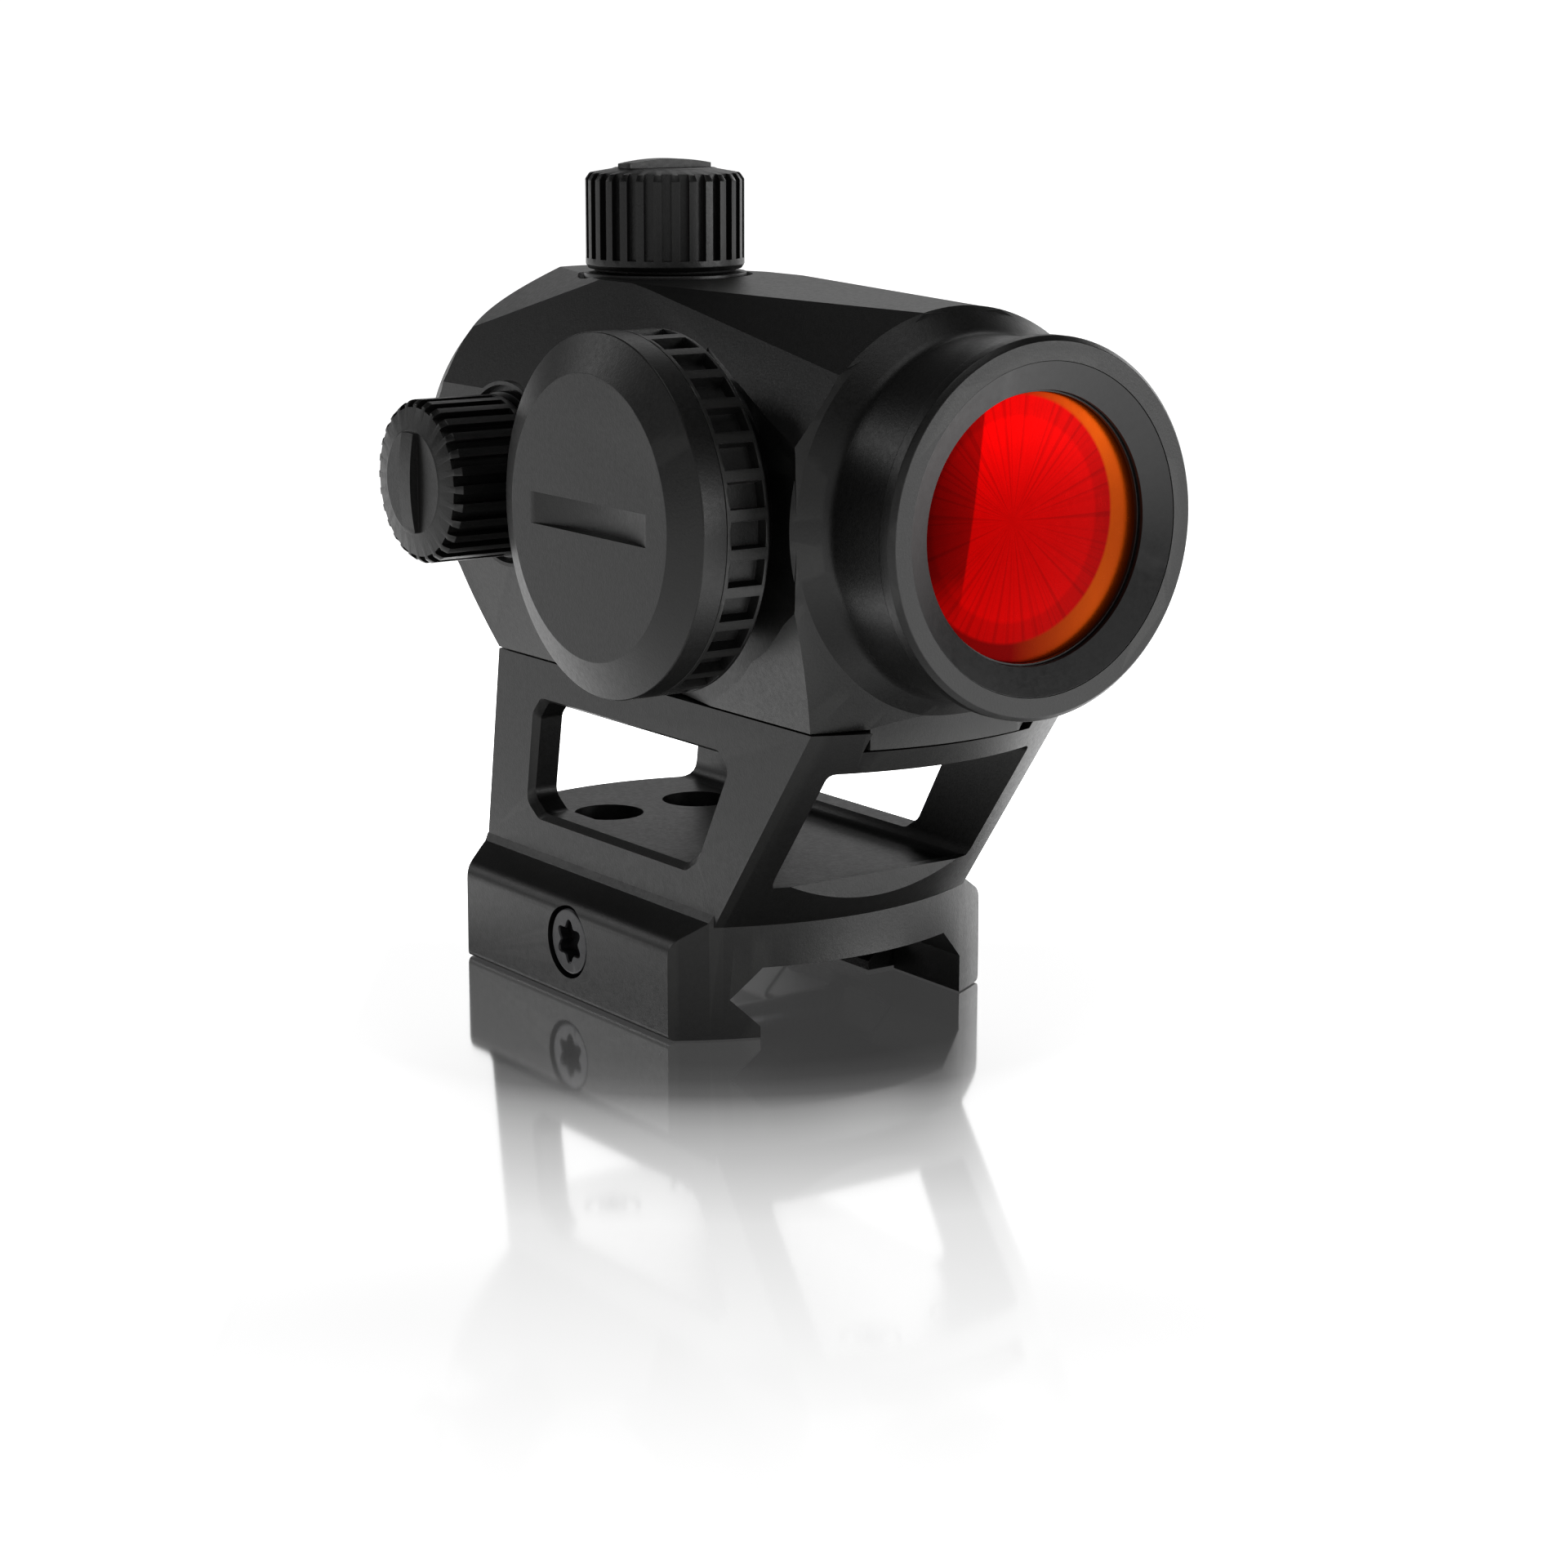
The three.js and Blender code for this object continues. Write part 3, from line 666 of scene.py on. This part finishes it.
def make_housing():
    # The front and rear blocks have different upper facets, so they are cut before they are joined.
    front = box(-15, 13.4, -50, 4, HOUSING_FLOOR_Z, PLATEAU_Z)
    cut(front, dial_side())
    cut(front, *both_sides(*UPPER_FRONT))
    rear = box(-BOSS_X, 13.4, -9, 40, HOUSING_FLOOR_Z, PLATEAU_Z)
    join(rear, box(-BOSS_X, 0, -16, -8, 30, PLATEAU_Z))
    cut(rear, *both_sides(*UPPER_REAR))
    cut(rear, beyond(*TURRET_WEDGE))
    cut(rear, beyond(mirrored(UPPER_FRONT[0]), mirrored(UPPER_FRONT[1])))
    body = join(front, rear)
    cut(body, beyond((0, -0.0146, 1), (0, -0.6, PLATEAU_Z)))
    for facet in (ROOF_FRONT, ROOF_REAR, UNDERCUT):
        cut(body, *both_sides(*facet))
    # The barrel through the blocks, and the bosses of the dial and the windage turret.
    join(body, turned([(0, -34), (13.1, -34), (13.1, 21), (0, 21)], BARREL, 128))
    join(body, turned([(0, 5), (9.4, 5), (9.4, 13.2), (10.7, 16.0), (0, 16.0)], DIAL, 96))
    join(body, prism("x", circle(7.4, 72, (TURRET_Y, OPTIC_Z)), -BOSS_X, -5))
    # Both ends are turned down to cones.
    cones = [
        (0, -32.9),
        (13.1, -32.6),
        (14.5, -31.75),
        (19.6, -29.4),
        (32, -23.8),
        (32, 2),
        (19.4, 14.6),
        (16.4, 17.6),
        (14.1, 22.2),
        (0, 22.2),
    ]
    keep(body, turned(cones, BARREL, 160))
    rim = rounded(
        [
            (0, -41.18),
            (13.39, -41.18),
            (13.75, -40.8),
            (13.75, -39.75),
            (13.38, -39.4),
            (13.3, -33.4),
            (15.2, -31.2),
            (0, -31.2),
        ],
        [0, 0.15, 0.2, 0.25, 0.2, 1.6, 0, 0],
    )
    join(body, turned(rim, BARREL, 160))
    # A rib under the housing that sits in the riser's channel.
    rib_z = TOWER_TOP_Z - 1.4
    rib = [
        (rib_z, -7.5),
        (HOUSING_FLOOR_Z + 1, -7.5),
        (HOUSING_FLOOR_Z + 1, 7.5),
        (HOUSING_FLOOR_Z, 7.5),
        (rib_z, 6.1),
    ]
    boss = prism("y", rib, -40, 40)
    keep(boss, prism("z", bowed_plan(7.8, -31.8, 14.5), 10, 30))
    join(body, boss)

    bore = [(0, -50), (12.0, -50), (12.0, -31), (11.4, -30.4)]
    bore += [(11.4, 17.2), (12.0, 17.2), (12.0, 50), (0, 50)]
    cut(body, turned(bore, BARREL, 128))
    seat = [(0, -7.2), (4.9, -7.2), (4.9, -0.75), (7.1, -0.75), (7.1, 5), (0, 5)]
    for place in (ELEVATION, WINDAGE):
        cut(body, turned(seat, place, 72))
    cut(body, prism("x", circle(9.2, 72, (DIAL_Y, OPTIC_Z)), -20, -13.4))
    cut(body, side_by_side([prism("z", circle(1.7, 24, (x, y)), 15, 23.0) for x, y in MOUNT_SCREWS]))
    return body


complete(make_housing(), "housing", 0.14, 13)


# ---------- optics ----------
def ring(stands_for, outline, radii=0.12, place=BARREL, steps=128):
    return complete(turned(rounded(outline, radii, 3), place, steps), stands_for)


def seal(stands_for, radius, minor, height, place=BARREL):
    complete(turned(circle(minor, 16, (radius, height)), place, 96), stands_for)


def lens(stands_for, front, rear):
    """A lens between two domes."""
    complete(turned(front + rear[::-1], BARREL, 128), stands_for)


def dome(radius, edge, rise, steps=12):
    """(radius, height) points from the axis to the rim of a shallow dome."""
    return [(radius * i / steps, edge + rise * (1 - (i / steps) ** 2)) for i in range(steps + 1)]


ring(
    "objective_bezel",
    [(9.88, -40.17), (11.98, -41.14), (11.98, -38.2), (11.1, -38.2), (11.1, -39.7), (9.88, -39.7)],
    0.04,
)
seal("objective_seal", 11.0, 0.3, -37.7)
ring(
    "optic_tube",
    [
        (10.0, -39.5),
        (10.4, -39.1),
        (10.4, 13.0),
        (9.5, 13.0),
        (9.5, -34.2),
        (8.8, -34.6),
        (8.8, -35.4),
        (9.88, -35.4),
        (9.88, -39.5),
    ],
    0.05,
)
lens("objective_lens", dome(9.85, -39.3, -0.45), dome(9.85, -36.3, 0.55))
ring("lens_retainer", [(9.72, -39.75), (9.86, -39.75), (9.86, -39.4), (9.72, -39.42)], 0.03)
lens("eyepiece_lens", dome(11.5, 18.5, -0.1), dome(11.5, 20.05, 0.15))
seal("eyepiece_seal", 11.55, 0.28, 17.85)
ring("eyepiece_ring", [(10.2, 20.5), (11.8, 20.5), (11.8, 22.0), (10.9, 22.0), (10.2, 21.4)], 0.08)


# ---------- turrets ----------
def make_cap(place):
    outline = [
        (0, 8.49),
        (4.06, 8.49),
        (4.3, 8.4),
        (6.084, 8.09),
        (CAP_R, 7.59),
        (CAP_R, 0.85),
        (6.2, 0.5),
        (5.95, 0.5),
        (5.95, 0.95),
        (4.9, 0.95),
        (4.9, 6.7),
        (0, 6.7),
    ]
    cap = turned(rounded(outline, [0, 0.05, 0, 0.2, 0.2, 0.2, 0, 0, 0, 0, 0, 0], 3), place, 112)
    inner = CAP_R - 0.59
    outer = CAP_R + 0.65
    groove = [(outer, -0.34), (outer, 0.34), (inner, 0.42), (inner, -0.42)]
    cut(cap, around(GROOVES, place, lambda turn: prism("z", groove, 1.35, 12, place=turn)))
    # The finger blade across the top is a low arc.
    half = 3.9
    across = [-half + 2 * half * i / 16 for i in range(17)]
    blade = [(9.2 - 0.024 * x * x, x) for x in across] + [(8.0, half), (8.0, -half)]
    return join(cap, prism("y", blade, -0.9, 0.9, place=place))


def make_turret(prefix, place):
    complete(make_cap(place), prefix + "_cap", 0.1, 25, 2)
    seal(prefix + "_cap_seal", 5.55, 0.26, 0.52, place)
    collar = [(3.1, -3.3), (4.6, -3.3), (4.6, -0.45), (6.6, -0.45)]
    collar += [(6.6, 0.2), (4.6, 0.2), (4.6, 5.9), (3.1, 5.9)]
    ring(prefix + "_collar", collar, 0.08, place, 96)
    outline = [(0, -4.4), (1.2, -4.4), (1.7, -3.9), (2.8, -3.9), (2.8, 5.2), (0, 5.2)]
    stem = turned(rounded(outline, [0, 0.1, 0.1, 0, 0.2, 0], 2), place, 48)
    cut(stem, box(-4, 4, -0.45, 0.45, 4.4, 6, place))
    complete(stem, prefix + "_screw", 0.08, 30, 2)


make_turret("elevation", ELEVATION)
make_turret("windage", WINDAGE)


# ---------- dial ----------
def make_dial_ring():
    outline = [(11.1, 16.4), (13.1, 16.4), (DIAL_R, 16.65), (DIAL_R, DIAL_EDGE_X)]
    outline += [(12.5, DIAL_EDGE_X), (12.5, 19.0), (11.1, 19.0)]
    dial_ring = turned(rounded(outline, [0, 0.1, 0.1, 0.03, 0, 0, 0], 2), DIAL, 180)
    mouth = [(-1.0, -1.5), (1.0, -1.5), (1.0, 1.5), (-1.0, 1.5)]
    floor = [(a * 0.86, b * 0.9) for a, b in mouth]

    def pocket(turn):
        place = turn @ Matrix.Translation((0, 0, 18.4))
        return prism("x", floor, DIAL_R - 0.85, DIAL_R + 0.2, mouth, place)

    return cut(dial_ring, around(POCKETS, DIAL, pocket))


complete(make_dial_ring(), "brightness_ring", 0.06, 25, 2)
seal("battery_cap_seal", 12.12, 0.26, 19.75, DIAL)


def make_battery_cap():
    rim_x = DIAL_EDGE_X + 0.05
    outline = [
        (0, CAP_FACE_X),
        (10.507, CAP_FACE_X),
        (DIAL_R, 22.209),
        (DIAL_R, rim_x),
        (11.75, rim_x),
        (11.75, 19.25),
        (11.2, 19.25),
        (11.2, 21.4),
        (0, 21.4),
    ]
    cap = turned(rounded(outline, [0, 0.12, 0.15, 0.03, 0, 0, 0, 0, 0], 4), DIAL, 160)
    # The coin slot is milled with a disc: deepest in the middle, running out at both ends.
    half = 7.87
    along = [-half + 2 * half * i / 32 for i in range(33)]
    slot = [(y, CAP_FACE_X - 1.25 * (1 - (y / half) ** 2)) for y in along] + [(half, 25), (-half, 25)]
    return cut(cap, prism("x", slot, -1.19, 1.19, place=DIAL))


complete(make_battery_cap(), "battery_cap", 0.05, 25, 2)

# Hidden pieces keep their CAD shape.
for name, obj in frame["nodes"].items():
    if not obj.hide_render:
        obj.data.materials.clear()
        obj.data.materials.append(FINISHES[SLOT_OF[name]])


# ---------- studio ----------
AIM = Vector((0, 0, 0.03))


def area_light(name, location, size, energy):
    data = bpy.data.lights.new(name, "AREA")
    data.shape = "RECTANGLE"
    data.size, data.size_y = size
    data.energy = energy
    obj = bpy.data.objects.new(name, data)
    bpy.context.scene.collection.objects.link(obj)
    obj.location = location
    obj.rotation_euler = (AIM - Vector(location)).to_track_quat("-Z", "Y").to_euler()


def dot(tree, vector, direction):
    made = node(tree, "ShaderNodeVectorMath", operation="DOT_PRODUCT")
    made.inputs[1].default_value = direction
    tree.links.new(vector, made.inputs[0])
    return made.outputs["Value"]


def make_floor():
    """A white floor, polished in a patch on the camera's side of the object so that it mirrors it there.
    It glows more on the right, which is what the dark metal reflects."""
    mesh = bpy.data.meshes.new("floor")
    reach = 6.0
    level = BASE_FLOOR_Z / 1000 - 0.0001
    corners = [(-reach, -reach, level), (reach, -reach, level), (reach, reach, level), (-reach, reach, level)]
    mesh.from_pydata(corners, [], [(0, 1, 2, 3)])
    floor = bpy.data.objects.new("floor", mesh)
    bpy.context.scene.collection.objects.link(floor)
    material, tree, principled = shader("PaleFloor", Base_Color=(0.25, 0.25, 0.25, 1), Roughness=0.9)
    principled.inputs["Emission Strength"].default_value = 1.0
    principled.inputs["Specular IOR Level"].default_value = 0.0
    mirror = node(tree, "ShaderNodeBsdfGlossy")
    mirror.inputs["Color"].default_value = grey(1)
    mirror.inputs["Roughness"].default_value = 0.07
    place = node(tree, "ShaderNodeTexCoord").outputs["Object"]
    distance = node(tree, "ShaderNodeVectorMath", operation="LENGTH")
    tree.links.new(place, distance.inputs[0])
    glow = ramp(tree, distance.outputs["Value"], [(0.1, grey(1.0)), (0.3, grey(0.42))])
    # Ramps take 0 to 1, so both signed distances from the origin are shifted by 0.5.
    lateral = dot(tree, place, (math.cos(CAMERA_AZIMUTH), math.sin(CAMERA_AZIMUTH), 0))
    left = ramp(tree, maths(tree, "ADD", lateral, 0.5), [(0.44, grey(0.4)), (0.47, grey(1.0))])
    glow = blend(tree, "MULTIPLY", 1.0, blend(tree, "MULTIPLY", 1.0, glow, left), (2.7, 2.7, 2.7, 1))
    glow = blend(tree, "LIGHTEN", 1.0, glow, (1.06, 1.06, 1.06, 1))
    tree.links.new(glow, principled.inputs["Emission Color"])
    share = ramp(
        tree,
        distance.outputs["Value"],
        [
            (0.03, grey(0.985)),
            (0.036, grey(0.96)),
            (0.04, grey(0.89)),
            (0.046, grey(0.84)),
            (0.0625, grey(0.73)),
            (0.12, grey(0.6)),
            (0.25, grey(0)),
        ],
    )
    beside = maths(tree, "ABSOLUTE", maths(tree, "SUBTRACT", lateral, 0.003))
    share = blend(tree, "MULTIPLY", 1.0, share, ramp(tree, beside, [(0.032, grey(1)), (0.046, grey(0.2))]))
    forward = dot(tree, place, (math.sin(CAMERA_AZIMUTH), -math.cos(CAMERA_AZIMUTH), 0))
    before = ramp(tree, maths(tree, "ADD", forward, 0.5), [(0.452, grey(0)), (0.49, grey(1))])
    share = blend(tree, "MULTIPLY", 1.0, share, before)
    mix = node(tree, "ShaderNodeMixShader")
    tree.links.new(share, mix.inputs[0])
    tree.links.new(principled.outputs[0], mix.inputs[1])
    tree.links.new(mirror.outputs[0], mix.inputs[2])
    tree.links.new(mix.outputs[0], tree.nodes["Material Output"].inputs["Surface"])
    mesh.materials.append(material)


def make_world():
    """A dim sky with a bright low panel behind the object and a pale band all round the camera's side."""
    world = bpy.data.worlds.new("studio")
    bpy.context.scene.world = world
    world.use_nodes = True
    tree = world.node_tree
    direction = node(tree, "ShaderNodeTexCoord").outputs["Generated"]
    split = node(tree, "ShaderNodeSeparateXYZ")
    tree.links.new(direction, split.inputs[0])
    bearing = maths(tree, "ARCTAN2", split.outputs["X"], split.outputs["Y"])
    offset = maths(tree, "ABSOLUTE", maths(tree, "ADD", bearing, CAMERA_AZIMUTH))
    height = split.outputs["Z"]
    across = ramp(tree, offset, [(0.26, grey(1.0)), (0.34, grey(0.0))])
    upward = ramp(tree, height, [(0.165, grey(0)), (0.2, grey(1)), (0.29, grey(1)), (0.36, grey(0))])
    backdrop = blend(tree, "MULTIPLY", 1.0, across, upward)
    # The lowest strip is white, so that the floor has no visible end.
    sky = ramp(
        tree,
        height,
        [(0.012, grey(1.3)), (0.016, grey(0.2)), (0.4, grey(0.12)), (0.6, grey(0.03))],
    )
    around_front = ramp(tree, offset, [(0.3, grey(1.0)), (1.0, grey(0.4))])
    sky = blend(tree, "MULTIPLY", 1.0, sky, around_front)
    opposite = ramp(tree, maths(tree, "MULTIPLY", offset, 0.3), [(0.5, grey(0)), (0.62, grey(1))])
    band = ramp(tree, height, [(0.14, grey(0)), (0.2, grey(0.8)), (0.5, grey(0.8)), (0.65, grey(0))])
    sky = blend(tree, "ADD", 1.0, sky, blend(tree, "MULTIPLY", 1.0, opposite, band))
    tree.links.new(blend(tree, "ADD", 1.0, sky, backdrop), tree.nodes["Background"].inputs["Color"])
    tree.nodes["Background"].inputs["Strength"].default_value = 0.85


bpy.context.scene.view_settings.view_transform = "Standard"
make_floor()
make_world()
area_light("overhead", (0.0, -0.05, 0.8), (0.5, 0.5), 1)
area_light("right_front", (0.5, -0.62, 0.12), (0.5, 0.22), 2.2)
area_light("rear_right", (0.55, 0.6, 0.6), (0.35, 0.35), 0.3)
area_light("right_fill", (0.9, 0.25, 0.3), (0.4, 0.4), 1.5)
area_light("low_left", (-0.54, 0.8, 0.28), (0.25, 0.25), 0.25)
area_light("rear_left", (-0.55, 0.92, 0.56), (0.35, 0.35), 0.95)


def make_camera():
    """Perspective camera at a low three-quarter view from the dial's side."""
    outward = Vector((math.sin(CAMERA_AZIMUTH), -math.cos(CAMERA_AZIMUTH), 0))
    back = outward * math.cos(CAMERA_ELEVATION) + Vector((0, 0, math.sin(CAMERA_ELEVATION)))
    right = Vector((math.cos(CAMERA_AZIMUTH), math.sin(CAMERA_AZIMUTH), 0))
    up = back.cross(right)
    turned_right = right * math.cos(CAMERA_ROLL) + up * math.sin(CAMERA_ROLL)
    turned_up = up * math.cos(CAMERA_ROLL) - right * math.sin(CAMERA_ROLL)
    data = bpy.data.cameras.new("camera")
    data.sensor_width = 36
    data.lens = CAMERA_LENS
    data.clip_start = 0.01
    data.clip_end = 30
    camera = bpy.data.objects.new("camera", data)
    bpy.context.scene.collection.objects.link(camera)
    place = Matrix((turned_right, turned_up, back)).transposed().to_4x4()
    place.translation = Vector(CAMERA_AT)
    camera.matrix_world = place
    bpy.context.scene.camera = camera


make_camera()
